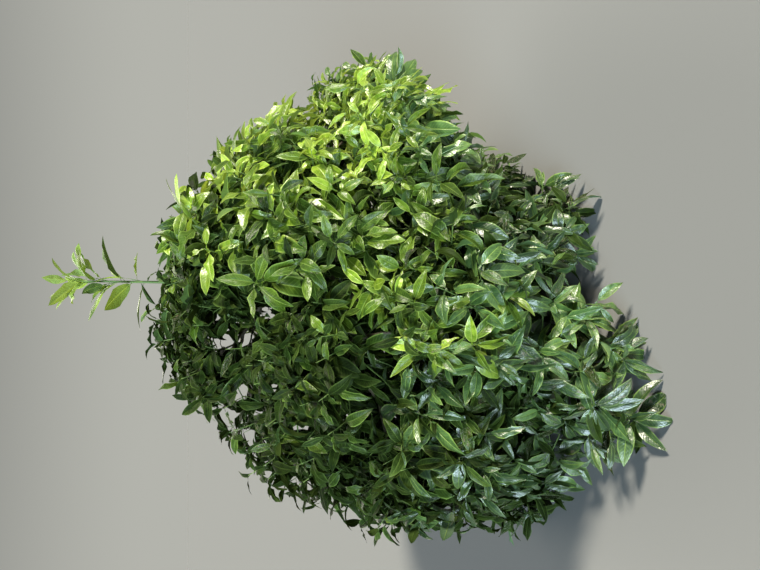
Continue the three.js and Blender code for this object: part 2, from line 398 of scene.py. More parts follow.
def leaf_material(foliage):
    """A citrus leaf: its look is one of 32 on a map, each with its own tint between dark and light."""
    s = new_shader(f"leaf_{foliage.name}")
    rib = foliage.rib
    across, along, _ = s.map_place()
    wide, tall = s.times(across, MAP_COLUMNS), s.times(along, MAP_ROWS)
    column, row = s.math("FLOOR", wide), s.math("FLOOR", tall)
    edgeward = s.math("ABSOLUTE", s.math("MULTIPLY_ADD", s.math("FRACT", wide), 2.0, -1.0))
    tipward = s.ramp(s.math("FRACT", tall), PETIOLE_SHARE, 1.0, kind="LINEAR")
    random = s.node("TexWhiteNoise", {"Vector": s.vector(column, row, 0.37)}, "Color", noise_dimensions="3D")
    tint, shade, spots = s.split(random)
    place = s.vector(wide, s.times(tall, 2.4), s.times(shade, 30.0))
    mottle = s.noise(place, 2.8, 3.0)

    # Tint of the look, mottled, with paler flesh between the side veins and a yellower rim of painted light
    blend = s.math("MULTIPLY_ADD", mottle, 3.0, s.math("MULTIPLY_ADD", tint, 0.8, -1.4))
    colour = s.mix(s.ramp(blend, 0.0, 1.0, kind="LINEAR"), foliage.dark, foliage.light)
    slanted = s.math("MULTIPLY_ADD", edgeward, -2.1, s.times(tipward, VEINS))
    vein_far = s.math("PINGPONG", slanted, 0.5)
    vein = s.times(s.ramp(vein_far, 0.0, 0.13, 1.0, 0.0), s.ramp(edgeward, 0.55, 0.95, 1.0, 0.0))
    yellowed = s.times(s.ramp(tipward, 0.55, 1.05), s.ramp(spots, 0.35, 1.0, 0.0, 0.5))
    # Painted light along the edge: light shining through it and glinting on it
    painted_rim_light = s.times(s.ramp(edgeward, 0.72, 0.93), s.math("MULTIPLY_ADD", shade, 0.55, 0.35))
    midrib = s.ramp(edgeward, 0.02, 0.10, 1.0, 0.0)
    for share in (s.times(vein, 0.30), yellowed, painted_rim_light, s.times(midrib, 0.6)):
        colour = s.mix(share, colour, rib)

    # Old damage on one row of looks: grey-brown scars and pale trails
    scarred = s.math("COMPARE", row, float(SCARRED_ROW), 0.5)
    blotch = s.times(s.ramp(s.noise(place, 3.4, 4.0, 0.65), 0.55, 0.66), scarred)
    colour = s.mix(s.times(blotch, 0.8), colour, (0.115, 0.098, 0.062))
    trail = s.math("PINGPONG", s.times(s.noise(place, 1.5, 2.0), 9.0), 0.5)
    trail = s.times(s.ramp(trail, 0.0, 0.10, 1.0, 0.0), scarred)
    colour = s.mix(s.times(trail, 0.45), colour, (0.33, 0.35, 0.28))

    behind = s.node("NewGeometry", output="Backfacing")
    below = s.mix(s.times(midrib, 0.8), s.mix(s.times(vein, 0.3), foliage.underside, rib), rib)
    colour = s.mix(behind, colour, below)

    relief = s.math("MULTIPLY_ADD", s.ramp(vein_far, 0.0, 0.5), 0.07, s.times(mottle, 1.1))
    relief = s.math("MULTIPLY_ADD", s.noise(place, 7.0, 2.0), 0.05, relief)
    relief = s.math("SUBTRACT", relief, s.times(midrib, 0.4))
    rough = s.math("ADD", s.math("MULTIPLY_ADD", mottle, 0.22, foliage.gloss - 0.11), s.times(behind, 0.3))
    rough = s.math("ADD", rough, s.times(blotch, 0.3))

    top = s.principled(colour, rough, s.bump(relief, 1.0, 0.0028), foliage.sheen)
    through = s.node("BsdfTranslucent", (s.mix(1.0, colour, (1.0, 0.95, 0.35), "MULTIPLY"),))
    return s.surface(s.node("MixShader", (foliage.glow, top, through)))


def twig_material(name, colour, other, spot):
    """Young wood: streaks along it and small pale pores."""
    s = new_shader(name)
    around, along, _ = s.map_place()
    turn = s.times(around, 2 * math.pi)
    place = s.vector(s.math("COSINE", turn), s.math("SINE", turn), s.times(along, 24.0))
    streaks = s.noise(place, 2.0, 3.0)
    pores = s.noise(place, 9.0, 1.0)
    tint = s.mix(s.ramp(streaks, 0.3, 0.7), colour, other)
    tint = s.mix(s.ramp(pores, 0.66, 0.74, 0.0, 0.6), tint, spot)
    return s.surface(s.principled(tint, 0.6, s.bump(streaks, 0.5, 0.001)))


def bark_material():
    """Old citrus bark: grey-brown, with fine upright cracks, pale lichen and greener patches."""
    s = new_shader("grapefruit_bark")
    place = s.node("TexCoord", output="Object")
    x, y, z = s.split(place)
    cracks = s.noise(s.vector(x, y, s.times(z, 0.22)), 150.0, 5.0, 0.62)
    patches = s.noise(place, 16.0, 3.0)
    specks = s.noise(place, 130.0, 2.0)
    colour = s.mix(s.ramp(patches, 0.35, 0.65), (0.092, 0.073, 0.049), (0.165, 0.141, 0.101))
    colour = s.mix(s.ramp(cracks, 0.34, 0.50, 0.65, 0.0), colour, (0.036, 0.027, 0.019))
    colour = s.mix(s.ramp(s.noise(place, 9.0, 4.0), 0.60, 0.72, 0.0, 0.40), colour, (0.27, 0.28, 0.22))
    colour = s.mix(s.ramp(specks, 0.62, 0.70, 0.0, 0.45), colour, (0.10, 0.115, 0.045))
    rough = s.ramp(cracks, 0.2, 0.8, 0.95, 0.75)
    return s.surface(s.principled(colour, rough, s.bump(cracks, 0.8, 0.004)))


def floor_material():
    s = new_shader("pale_floor")
    return s.surface(s.principled(FLOOR_COLOUR, 1.0, specular=0.0))


# Colours of the foliage, darkest first. Each spray takes one by how much light reaches it. A leaf lies
# between dark and light. Glow is the light that comes through it and gloss its roughness.
Foliage = namedtuple("Foliage", "name slot dark light underside rib glow gloss sheen")
FOLIAGE = [
    Foliage("shadow", "deep_leaf", (0.006, 0.012, 0.002), (0.015, 0.029, 0.004),
            (0.026, 0.046, 0.010), (0.060, 0.100, 0.020), 0.08, 0.50, 0.06),
    Foliage("deep", "deep_leaf", (0.012, 0.027, 0.004), (0.030, 0.057, 0.008),
            (0.050, 0.092, 0.024), (0.130, 0.210, 0.045), 0.10, 0.36, 0.18),
    Foliage("dark", "deep_leaf", (0.021, 0.045, 0.005), (0.050, 0.094, 0.010),
            (0.080, 0.140, 0.034), (0.190, 0.290, 0.055), 0.14, 0.34, 0.24),
    Foliage("mid", "mid_leaf", (0.038, 0.077, 0.005), (0.090, 0.158, 0.011),
            (0.120, 0.196, 0.042), (0.265, 0.390, 0.075), 0.20, 0.33, 0.40),
    # A lighter tone: painted light where more of it reaches the crown
    Foliage("fresh", "bright_leaf", (0.074, 0.134, 0.006), (0.170, 0.268, 0.015),
            (0.175, 0.268, 0.052), (0.400, 0.530, 0.100), 0.30, 0.33, 0.90),
    Foliage("bright", "bright_leaf", (0.145, 0.260, 0.008), (0.370, 0.550, 0.045),
            (0.270, 0.370, 0.070), (0.620, 0.740, 0.190), 0.34, 0.34, 1.00),
    Foliage("young", "young_leaf", (0.130, 0.225, 0.026), (0.250, 0.380, 0.060),
            (0.240, 0.350, 0.090), (0.360, 0.480, 0.140), 0.34, 0.31, 0.70),
]
LIGHTER, YOUNG = 4, 6
# The cool colours are a painted reflection of the sky on the leaves low in the crown
COOL = np.arange(len(FOLIAGE))  # the colour that each one changes to low in the crown


# Paints the sky's reflection into a colour
def bluer(colour):
    red, green, blue = colour
    return (0.92 * red, 1.04 * green, blue + 0.20 * green)


def cooled(foliage):
    """A glossier version of a colour for the old leaves low in the crown, bluer with a painted sky
    reflection.
    """
    changed = {part: bluer(getattr(foliage, part)) for part in ("dark", "light", "underside")}
    return foliage._replace(name=f"cool_{foliage.name}", gloss=0.33, sheen=0.75, **changed)


for tone in range(1, LIGHTER):
    COOL[tone] = len(FOLIAGE)
    FOLIAGE.append(cooled(FOLIAGE[tone]))
COOL[LIGHTER:YOUNG] = COOL[LIGHTER - 1]


# Where the sprays stand


def outward_samples():
    """Places on the outside of the crown and their outward directions, found by looking in from all round."""
    found = []
    while len(found) < SAMPLES:
        elevation = math.asin(rng.uniform(-0.06, 1.0))
        way = compass(rng.uniform(0, 360)) * math.cos(elevation) + UP * math.sin(elevation)
        aim = rng.uniform(-0.7, 0.7, 3) + (0, 0, CROWN_MIDDLE)
        hit, normal, _, _ = crown.ray_cast(Vector(aim + way * 4), Vector(-way))
        if hit is not None:
            found.append((hit, normal))
    return np.array(found, float).transpose(1, 0, 2)


def scattered(places, apart, most):
    """Indices of places that stand at least apart from each other."""
    chosen = []
    grid = {}
    for i, place in enumerate(places):
        x, y, z = (place // apart).astype(int)
        near = [j for a, b, c in product((-1, 0, 1), repeat=3) for j in grid.get((x + a, y + b, z + c), ())]
        if near and lengths(places[near] - place).min() < apart:
            continue
        grid.setdefault((x, y, z), []).append(i)
        chosen.append(i)
        if len(chosen) >= most:
            break
    return chosen


def with_regions(value, place, regions):
    """A value that holds for the whole crown, with what the regions add to it at a place."""
    azimuth = azimuth_of(place)
    for region in regions:
        turned = turn_between(azimuth, region.azimuth) / region.spread
        height = (place[2] - region.height) / region.rise
        value += region.gain * math.exp(-(turned**2) - height**2)
    return value


def tone_at(place):
    """The foliage colour of a place, painted light and shade, as an index into FOLIAGE before it is rounded.
    """
    patch = TONE_PATCHES * noise.noise(Vector(place) * PATCH_WAVES)
    return with_regions(TONE + patch, place, TONE_REGIONS)


def cool_at(place):
    """The share of the sprays at a place that have cool colours: the low ones, most of all on the left."""
    # Cool colours are a painted reflection of the sky
    left = math.exp(-((turn_between(azimuth_of(place), -50) / 60) ** 2))
    return (0.82 + 0.15 * left - place[2]) / 0.45


@dataclass(eq=False)
class Spray:
    """A leafy shoot: where it starts and heads, its length, and the number and colour of its leaves."""

    base: np.ndarray
    axis: np.ndarray
    length: float
    leaves: int
    tone: int
    size: float = 1.0
    outward: np.ndarray = None
    scarred: float = 0.0  # the share of its leaves
    droop: float = 0.25  # how much they hang
    spread: float = 86  # degrees from the axis to the lowest ones
    bend: float = 1.0  # how much they curve back
    # Whether its leaves take cool colours, a painted reflection of the sky
    cool: bool = False

    def __post_init__(self):
        self.axis = unit(self.axis)
        if self.outward is None:
            self.outward = self.axis
        raised = max(0.0, min(1.0, self.base[2] - 0.4))
        self.breadth = 0.36 + 0.08 * raised + 0.02 * rng.standard_normal()
        self.grown = spray_leaves(self)

    def at(self, *shares):
        """Places along the shoot, which curves up a little."""
        share = np.array(shares)[:, None]
        return self.base + self.axis * (self.length * share) + UP * (0.15 * self.length * share**2)

    def move(self, shift):
        self.base = self.base + shift
        self.grown["base"] = self.grown["base"] + shift

    def overshoot(self):
        """How far the furthest tip of its leaves stands outside the crown's solids, in metres."""
        leaves = self.grown
        far = []
        for tip in leaves["base"] + leaves["way"] * (leaves["length"][:, None] * 0.9 + PETIOLE):
            near, normal, _, _ = crown.find_nearest(Vector(tip))
            far.append((Vector(tip) - near).dot(normal))
        return max(far)


def layer_sprays(places, normals, layer):
    depth = layer.depth + 0.02 * rng.standard_normal(len(places))
    bases = places - normals * depth[:, None]
    outer = layer is LAYERS[0]
    sprays = []
    for i in scattered(bases, layer.apart, layer.most):
        place, base, normal = places[i], bases[i], normals[i]
        base[2] = max(base[2], rng.uniform(0.03, 0.06))
        lobe = noise.noise(Vector(place) * LOBES)
        openness = with_regions(0.0, place, [OPEN_REGION])
        if rng.random() < 0.45 * openness or (outer and lobe < LOBE_GAP and rng.random() < 0.6):
            continue
        if outer and lengths(HOLLOWS - place).min() < HOLLOW_RADIUS:
            continue
        low = float(np.clip(1 - place[2] / 0.8, 0, 1))
        axis = 0.75 * normal + (0.60 - 0.55 * low) * UP + 0.33 * rng.standard_normal(3)
        # Painted light and shade: the place's tone, darkened for deeper layers, with a random spread
        tone = tone_at(place) - layer.shade + 0.7 * rng.standard_normal()
        tone = int(np.clip(tone, 0, YOUNG - 1))
        spray = Spray(
            base, axis, rng.uniform(0.050, 0.105), rng.integers(*layer.leaves), tone,
            size=rng.triangular(0.66, 0.92, 1.22) * with_regions(SIZE, place, SIZE_REGIONS),
            outward=normal, scarred=0.04 + 0.4 * low, droop=0.15 + 0.90 * low,
            cool=rng.random() < cool_at(place),
        )
        if outer:
            stray = 0.04 if rng.random() < 0.08 else 0.0
            shift = 0.004 + stray + 0.06 * min(lobe, 0.15) + rng.normal(0, 0.013)
            shift = normal * np.clip(shift - spray.overshoot(), -0.07, 0.06)
            shift[2] = max(shift[2], 0.03 - base[2])
            spray.move(shift)
        sprays.append(spray)
    return sprays


def feature_sprays():
    """The shoots that stand out on the front, each at the azimuth and height where it grows."""
    sprays = []
    for shoot in FEATURES:
        out = compass(shoot.azimuth)
        level = UP * shoot.height
        on_surface = shoot.far is None
        if on_surface:
            base = np.array(crown.ray_cast(Vector(out * 3 + level), Vector(-out))[0]) - out * FEATURE_DEPTH
        else:
            base = out * shoot.far + level
        way = out + UP * shoot.rise + compass(shoot.azimuth + 90) * shoot.aside
        spray = Spray(
            base, way, shoot.length, shoot.leaves, shoot.tone,
            size=shoot.size, outward=unit(out + 0.4 * UP), scarred=shoot.scarred, droop=shoot.droop,
            spread=92, bend=0.7, cool=shoot.height < COOL_HEIGHT and shoot.tone < LIGHTER,
        )
        if on_surface:
            spray.move(out * (FEATURE_REACH - spray.overshoot()))
        sprays.append(spray)
    return sprays


def crown_sprays():
    places, normals = outward_samples()
    sprays = feature_sprays()
    standing = np.array([spray.base for spray in sprays])
    level = places * (1, 1, 0) + UP * (places[:, 2:] - CROWN_MIDDLE) * 0.7
    normals = unit(0.6 * normals + 0.4 * unit(level))
    clear = lengths(places[:, None] - standing).min(1) > FEATURE_ROOM
    for layer in LAYERS:
        order = rng.permutation(len(places))
        if layer is LAYERS[0]:
            order = order[clear[order]]
        sprays += layer_sprays(places[order], normals[order], layer)
    return sprays


def inner_sprays():
    """Sprays inside the crown, dark with painted shade, which close it to view as its inner leaves do."""
    turns, heights = rng.uniform(0, 360, INNER_TRIES), rng.uniform(*INNER_HEIGHTS, INNER_TRIES)
    far = INNER_RADIUS * np.sqrt(rng.random(INNER_TRIES)) * np.sqrt(1 - (heights / INNER_TOP) ** 2)
    places = np.array([compass(turn) * reach + UP * z for turn, reach, z in zip(turns, far, heights)])
    sprays = []
    for i in scattered(places, INNER_APART, INNER_MOST):
        way = places[i] * (1, 1, 0) + UP * 0.3 + 0.2 * rng.standard_normal(3)
        leaves = rng.integers(5, 8)
        # Their colour is painted shade: mostly the shadow colour, else the deep one
        sprays.append(Spray(places[i], way, 0.09, leaves, int(rng.random() < 0.3), outward=unit(way)))
    return sprays


def water_shoot():
    """The upright shoot over the crown: the foot and top of its stem and the sprays of its head."""
    low, high = (np.array(corner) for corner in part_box("shoot_stem"))
    head_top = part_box("shoot_mass")[1][2]
    foot, top = (low + high) / 2, (low + high) / 2
    foot[2], top[2] = low[2] - 0.12, head_top - 0.135
    top[:2] += (0.004, 0.010)
    sprays = []
    last = SHOOT_SPRAYS - 1
    for i in range(SHOOT_SPRAYS):
        share = i / last
        place = foot + (top - foot) * (0.40 + 0.56 * share)
        way = compass(40 + math.degrees(GOLDEN) * i) * (0.40 - 0.25 * share) + UP
        leaves = 3 if i < last else 6
        tone = LIGHTER if i < SHOOT_SPRAYS // 2 else YOUNG
        sprays.append(Spray(place, way, 0.045, leaves, tone, size=1.05, droop=-0.05, spread=62, bend=0.45))
    return foot, top, sprays


# Boughs: the centre line and radius of each, read from its solid


def centre_line(name, stations=9):
    points, corners = solid_arrays(name)
    middle = points.mean(0)
    along = np.linalg.svd(points - middle, full_matrices=False)[2][0]
    foot_side = points[np.argmin(points[:, 2])]
    if (foot_side - middle) @ along > 0:
        along = -along
    reach = (points - middle) @ along
    ends = points[corners[:, [0, 1, 1, 2, 2, 0]].reshape(-1, 2)]
    levels = (ends - middle) @ along
    line, radii = [], []
    for level in np.linspace(reach.min(), reach.max(), stations + 2)[1:-1]:
        across = (levels[:, 0] - level) * (levels[:, 1] - level) < 0
        a, b = ends[across, 0], ends[across, 1]
        share = (level - levels[across, 0]) / (levels[across, 1] - levels[across, 0])
        ring = a + (b - a) * share[:, None]
        line.append(ring.mean(0))
        radii.append(lengths(ring - ring.mean(0)).mean())
    return np.array(line), np.array(radii)


def at_height(line, height):
    """The place on an upright line at a height."""
    return np.array([np.interp(height, line[:, 2], line[:, axis]) for axis in range(2)] + [height])


def smooth_path(points, count):
    """Even steps along a smooth curve through the points."""
    points = np.asarray(points, float)
    far = distances(points)
    padded = np.vstack([2 * points[0] - points[1], points, 2 * points[-1] - points[-2]])
    made = []
    for value in np.linspace(0, far[-1], count):
        i = min(np.searchsorted(far, value, side="right") - 1, len(points) - 2)
        t = (value - far[i]) / max(far[i + 1] - far[i], 1e-9)
        a, b, c, d = padded[i : i + 4]
        square, cube = 2 * a - 5 * b + 4 * c - d, 3 * b - a - 3 * c + d
        made.append(0.5 * (2 * b + (c - a) * t + square * t**2 + cube * t**3))
    return np.array(made)


def bark_lump(place, knots):
    """Relief of old bark, in metres: slow swellings, knots and fine cracks."""
    slow = noise.noise(Vector(place) * 22.0)
    fine = noise.noise(Vector((place[0] * 130, place[1] * 130, place[2] * 45)))
    return 0.0022 * slow * knots + 0.0011 * fine


def ring_quads(count, sides):
    """The faces between rings of points, and the ring and the spoke of each one."""
    ring, spoke = np.divmod(np.arange((count - 1) * sides), sides)
    after = (spoke + 1) % sides
    low, high = ring * sides, (ring + 1) * sides
    return np.stack([low + after, high + after, high + spoke, low + spoke], 1), ring, spoke


def flat_faces(*groups):
    """The corners and sizes of groups of faces, where each group is an array with a row for each face."""
    corners = np.concatenate([faces.ravel() for faces in groups])
    return corners, np.concatenate([np.full(*faces.shape) for faces in groups])


def end_fan(first, sides, tip):
    """The faces from a ring of points, numbered from first, to a tip."""
    spokes = np.arange(sides)
    return np.stack([first + spokes, first + (spokes + 1) % sides, np.full(sides, tip)], 1)


def tube(path, radii, sides, relief=0.0):
    """Points, faces and map places of a tube along a path. Its far end narrows to a point."""
    along = unit(np.gradient(path, axis=0))
    side, other = square_to(along, path[-1] - path[0])
    turn = np.arange(sides) * 2 * math.pi / sides
    ways = side[:, None] * np.cos(turn)[:, None] + other[:, None] * np.sin(turn)[:, None]
    rings = path[:, None] + ways * radii[:, None, None]
    if relief:
        for i, j in product(range(len(path)), range(sides)):
            rings[i, j] += ways[i, j] * bark_lump(rings[i, j], relief)
    quads, ring, spoke = ring_quads(len(path), sides)
    far = distances(path) / TWIG_MAP_LENGTH
    far += wood_rng.uniform(0, max(0.0, 1 - far[-1]))
    levels = MAP_EDGE + MAP_SPAN * np.minimum(far, 1.0)
    low, high = levels[ring], levels[ring + 1]
    left, right = MAP_EDGE + MAP_SPAN * spoke / sides, MAP_EDGE + MAP_SPAN * (spoke + 1) / sides
    places = np.stack([right, low, right, high, left, high, left, low], 1).reshape(-1, 2)
    points = np.vstack([rings.reshape(-1, 3), path[-1] + along[-1] * radii[-1] * 0.8])
    cap = end_fan((len(path) - 1) * sides, sides, len(points) - 1)
    return points, *flat_faces(quads, cap), np.vstack([places, np.full((3 * sides, 2), (0.5, levels[-1]))])


def join(parts):
    """Joins the arrays of several shapes."""
    points, corners, sizes, places = zip(*parts)
    return np.vstack(points), joined_corners(points, corners), np.concatenate(sizes), np.vstack(places)


# Growth: limbs part again and again until each reaches one spray


def pipe(count):
    """Radius of a limb that carries this many sprays."""
    return TWIG_RADIUS * count ** (1 / PIPE_POWER)


def parted(points):
    """Parts places into two groups of neighbours, or three if they are many."""
    count = 3 if len(points) > 14 and wood_rng.random() < 0.4 else 2
    far = lengths(points - points.mean(0))
    middles = [points[np.argmax(far)]]
    while len(middles) < count:
        nearest = np.min([lengths(points - m) for m in middles], axis=0)
        middles.append(points[np.argmax(nearest)])
    middles = np.array(middles)
    for _ in range(5):
        group = np.argmin(lengths(points[:, None] - middles), axis=1)
        own = [group == g for g in range(count)]
        middles = np.array([points[o].mean(0) if o.any() else m for o, m in zip(own, middles)])
    return [np.flatnonzero(o) for o in own if o.any()]


def bent(foot, heading, end, arrival, step):
    """Places along a smooth bend from foot to end, a step apart."""
    reach = np.linalg.norm(end - foot)
    count = int(np.clip(reach / step, 2, 12)) + 1
    t = np.linspace(0, 1, count)[:, None]
    b = foot + heading * reach * 0.36 + 0.05 * reach * wood_rng.standard_normal(3)
    c = end - arrival * reach * 0.36 + 0.05 * reach * wood_rng.standard_normal(3)
    path = foot * (1 - t) ** 3 + 3 * b * t * (1 - t) ** 2 + 3 * c * t**2 * (1 - t) + end * t**3
    path[1:-1] += 0.006 * reach * wood_rng.standard_normal((count - 2, 3))
    path[:, 2] = np.maximum(path[:, 2], LOWEST_TWIG)
    return path


def extended(limb, path, radius):
    """A limb, as its path and radii, that goes on along a path and narrows to a radius."""
    former_path, former_radii = limb
    radii = np.linspace(former_radii[-1], radius, len(path) + 1)[1:]
    return np.vstack([former_path, path]), np.concatenate([former_radii, radii])


def grow(foot, heading, foot_radius, sprays):
    """Limbs from a foot to each spray. Where a limb forks, it goes on as its fullest branch."""
    limbs = []
    bases = np.array([spray.base for spray in sprays])
    todo = [((foot[None], np.array([foot_radius])), heading, np.arange(len(sprays)))]
    while todo:
        limb, heading, members = todo.pop()
        foot = limb[0][-1]
        if len(members) == 1:
            spray = sprays[members[0]]
            path = bent(foot, heading, spray.base, spray.axis, TWIG_STEP)[1:]
            tip = spray.at(0.35, 0.7, 1.0)
            tip[:, 2] = np.maximum(tip[:, 2], LOWEST_TWIG)
            limbs.append(extended(limb, np.vstack([path, tip]), TWIG_RADIUS * 0.7))
            continue
        groups = parted(bases[members]) if len(members) > 2 else [np.array([0]), np.array([1])]
        groups.sort(key=len, reverse=True)
        for number, group in enumerate(groups):
            inner = members[group]
            radius = pipe(len(inner))
            stem = limb if number == 0 else (foot[None], np.array([radius * 1.12]))
            if len(inner) == 1:
                todo.append((stem, heading, inner))
                continue
            middle = bases[inner].mean(0)
            spread = lengths(bases[inner] - middle).mean()
            way = middle - foot
            reach = np.linalg.norm(way)
            way = way / max(reach, 1e-9)
            travel = np.clip(reach - 1.1 * spread, 0.22 * reach, 0.7 * reach)
            start = unit(heading * 0.55 + way * 0.75)
            fork = foot + way * travel + 0.06 * travel * wood_rng.standard_normal(3)
            arrival = unit(way * 0.9 + heading * 0.25 + 0.1 * UP)
            step = TWIG_STEP if radius < WOODY_RADIUS else BRANCH_STEP
            path = bent(foot, start, fork, arrival, step)[1:]
            todo.append((extended(stem, path, radius), arrival, inner))
    return limbs


# Leaves


def spray_leaves(spray):
    """The leaves of one spray, as a dictionary of arrays with a row for each leaf."""
    count = spray.leaves
    share = np.linspace(0.0, 1.0, count) ** 0.85
    turn = rng.uniform(0, 2 * math.pi) + GOLDEN * np.arange(count) + 0.2 * rng.standard_normal(count)
    side, other = square_to(spray.axis, spray.axis)
    radial = side * np.cos(turn)[:, None] + other * np.sin(turn)[:, None]
    open_angle = np.radians(spray.spread - 38 * share + 9 * rng.standard_normal(count))[:, None]
    way = np.cos(open_angle) * spray.axis + np.sin(open_angle) * radial
    droop = (0.1 + spray.droop * (1 - 0.5 * share) + 0.16 * rng.standard_normal(count))[:, None]
    way = unit(way - UP * droop)
    light = unit(0.55 * spray.outward + 0.75 * UP)
    facing = spray.axis - (way @ spray.axis)[:, None] * way
    facing = unit(facing) * 0.55 + light * 0.75 + 0.40 * rng.standard_normal((count, 3))
    facing = unit(facing - (facing * way).sum(1)[:, None] * way)
    length = LEAF_LENGTH * spray.size * (1.0 - 0.36 * share**1.5) * rng.uniform(0.70, 1.12, count)
    scarred = rng.random(count) < spray.scarred
    row = np.where(scarred, SCARRED_ROW, rng.integers(0, SCARRED_ROW, count))
    tone = np.full(count, spray.tone)
    shift = rng.random(count)
    if spray.tone < YOUNG:
        tone += np.searchsorted((0.05, 0.26, 0.80, 0.96), shift) - 2
        tone = np.clip(tone, 0, YOUNG - 1)
    # Cool colours paint the sky's reflection
    if spray.cool:
        tone = COOL[tone]
    return {
        "base": spray.at(*share),
        "way": way,
        "facing": facing,
        "length": length,
        "width": spray.breadth * rng.uniform(0.85, 1.15, count),
        "fold": np.radians(10 + 46 * rng.beta(1.6, 2.0, count)),
        "curl": rng.uniform(0.06, 0.46, count),
        "recurve": np.radians(spray.bend * np.clip(rng.normal(54, 28, count), -15, 120)),
        "sway": np.radians(rng.normal(0, 14, count)),
        "twist": np.radians(rng.normal(0, 22, count)),
        "wave": 0.22 * rng.beta(1.5, 2.2, count),
        "phase": rng.uniform(0, 2 * math.pi, count),
        "bite": np.where(scarred, rng.uniform(0, 0.55, count), 0.0),
        "column": rng.integers(0, MAP_COLUMNS, count),
        "row": row,
        "tone": tone,
    }


def chosen_rows(leaves, rows):
    return {key: value[rows] for key, value in leaves.items()}


def in_gap(places, gap, wider=1.0):
    """True for the places that stand between a sky gap and the photograph's viewpoint, or beyond it."""
    sight = np.array(gap.spot) - EYE
    far = np.linalg.norm(sight)
    sight = sight / far
    right = unit(np.cross(sight, UP))
    above = np.cross(right, sight)
    offset = places - EYE
    scale = far / (offset @ sight)
    aside, up = (offset @ right) * scale / gap.aside, (offset @ above) * scale / gap.up
    return aside**2 + up**2 < wider**2


def leaves_in_gaps(leaves):
    """True for the leaves that hide a sky gap from the photograph's viewpoint."""
    hidden = np.zeros(len(leaves["length"]), bool)
    for share in (0.1, 0.35, 0.6, 0.85):
        dip = leaves["recurve"] * share * 0.5
        reach = (leaves["length"] * share + PETIOLE)[:, None]
        ahead = leaves["way"] * np.cos(dip)[:, None] - leaves["facing"] * np.sin(dip)[:, None]
        places = leaves["base"] + ahead * reach
        for gap in SKY_GAPS:
            hidden |= in_gap(places, gap)
    return hidden


def clear_gaps(sprays):
    """The sprays that are left, with their leaves, when the sky gaps are open."""
    left = []
    for spray in sprays:
        stem = spray.at(-0.5, 0.0, 0.5, 1.0)
        if any(in_gap(stem, gap, 1.25).any() for gap in SKY_GAPS):
            continue
        keep = ~leaves_in_gaps(spray.grown)
        if keep.sum() > 2:
            spray.grown = chosen_rows(spray.grown, keep)
            left.append(spray)
    return left


def blade_outline(t):
    """Half-width of a blade along its length, 1 at the widest."""
    near, far = 0.80, 1.10
    widest = near / (near + far)
    return t**near * (1 - t) ** far / (widest**near * (1 - widest) ** far)


def blade_frames(leaves, t):
    """The directions ahead, aside and over of each leaf at shares of its length, bent and twisted."""
    dip = -leaves["recurve"][:, None] * t**1.3
    sway = leaves["sway"][:, None] * t
    ahead = np.stack([np.cos(dip) * np.cos(sway), np.cos(dip) * np.sin(sway), np.sin(dip)], 2)
    side = np.stack([-np.sin(sway), np.cos(sway), np.zeros_like(sway)], 2)
    over = np.cross(ahead, side)
    roll = (leaves["twist"][:, None] * t)[:, :, None]
    return ahead, side * np.cos(roll) + over * np.sin(roll), over * np.cos(roll) - side * np.sin(roll)


def leaf_points(leaves):
    """The vertices of each leaf: 9 of its petiole, 35 of its blade and its tip."""
    length = leaves["length"]
    count = len(length)
    rows = np.concatenate([[0.0], BLADE_ROWS, [1.0]])
    halfway = (rows[1:] + rows[:-1]) / 2
    steps = blade_frames(leaves, halfway)[0] * (np.diff(rows)[:, None] * length[:, None, None])
    spine = np.concatenate([np.zeros((count, 1, 3)), np.cumsum(steps, axis=1)], axis=1)
    _, side, over = blade_frames(leaves, BLADE_ROWS)
    half = ((length * leaves["width"] / 2)[:, None] * blade_outline(BLADE_ROWS))[:, :, None]
    across = np.abs(BLADE_COLUMNS)
    shaped = ("fold", "curl", "wave", "bite", "phase")
    fold, curl, wave, bite, phase = (leaves[key][:, None, None] for key in shaped)
    rows = BLADE_ROWS[:, None]
    bitten = 1 - bite * ((np.sin(rows * 37 + phase) > 0.45) * (BLADE_COLUMNS > 0.9))
    out = half * BLADE_COLUMNS * np.cos(fold) * bitten
    ripple = np.sin(rows * 12 + phase + 2.1 * np.sign(BLADE_COLUMNS))
    rise = half * (across * np.sin(fold) - curl * across**2 + 2.2 * wave * ripple * across**2)
    blade = spine[:, 1:-1, None] + side[:, :, None] * out[..., None] + over[:, :, None] * rise[..., None]
    blade[..., 0] += PETIOLE
    tip = spine[:, -1] + np.array([PETIOLE, 0, 0])
    stalk = np.zeros((count, 3, 3, 3))
    stalk[..., 0] = PETIOLE_ROWS[:, None] * PETIOLE
    stalk[..., 1] = PETIOLE_HALF_WIDTHS[:, None] * PETIOLE_COLUMNS
    stalk[..., 2] = PETIOLE_HALF_WIDTHS[:, None] * np.abs(PETIOLE_COLUMNS) * 0.5
    stalk[:, -1, 1] = (PETIOLE, 0, 0)
    local = np.concatenate([stalk.reshape(count, -1, 3), blade.reshape(count, -1, 3), tip[:, None]], axis=1)
    axes = np.stack([leaves["way"], np.cross(leaves["facing"], leaves["way"]), leaves["facing"]], 1)
    placed = leaves["base"][:, None] + local @ axes
    lifted = GROUND_GAP + 0.03 * np.abs(local[..., 1])
    placed[..., 2] = np.where(placed[..., 2] < GROUND_GAP, lifted, placed[..., 2])
    return placed


def grid_faces(first, rows, columns):
    """The faces of a grid of points, numbered row by row from first."""
    starts = [first + row * columns + column for row in range(rows - 1) for column in range(columns - 1)]
    return [(a, a + columns, a + columns + 1, a + 1) for a in starts]


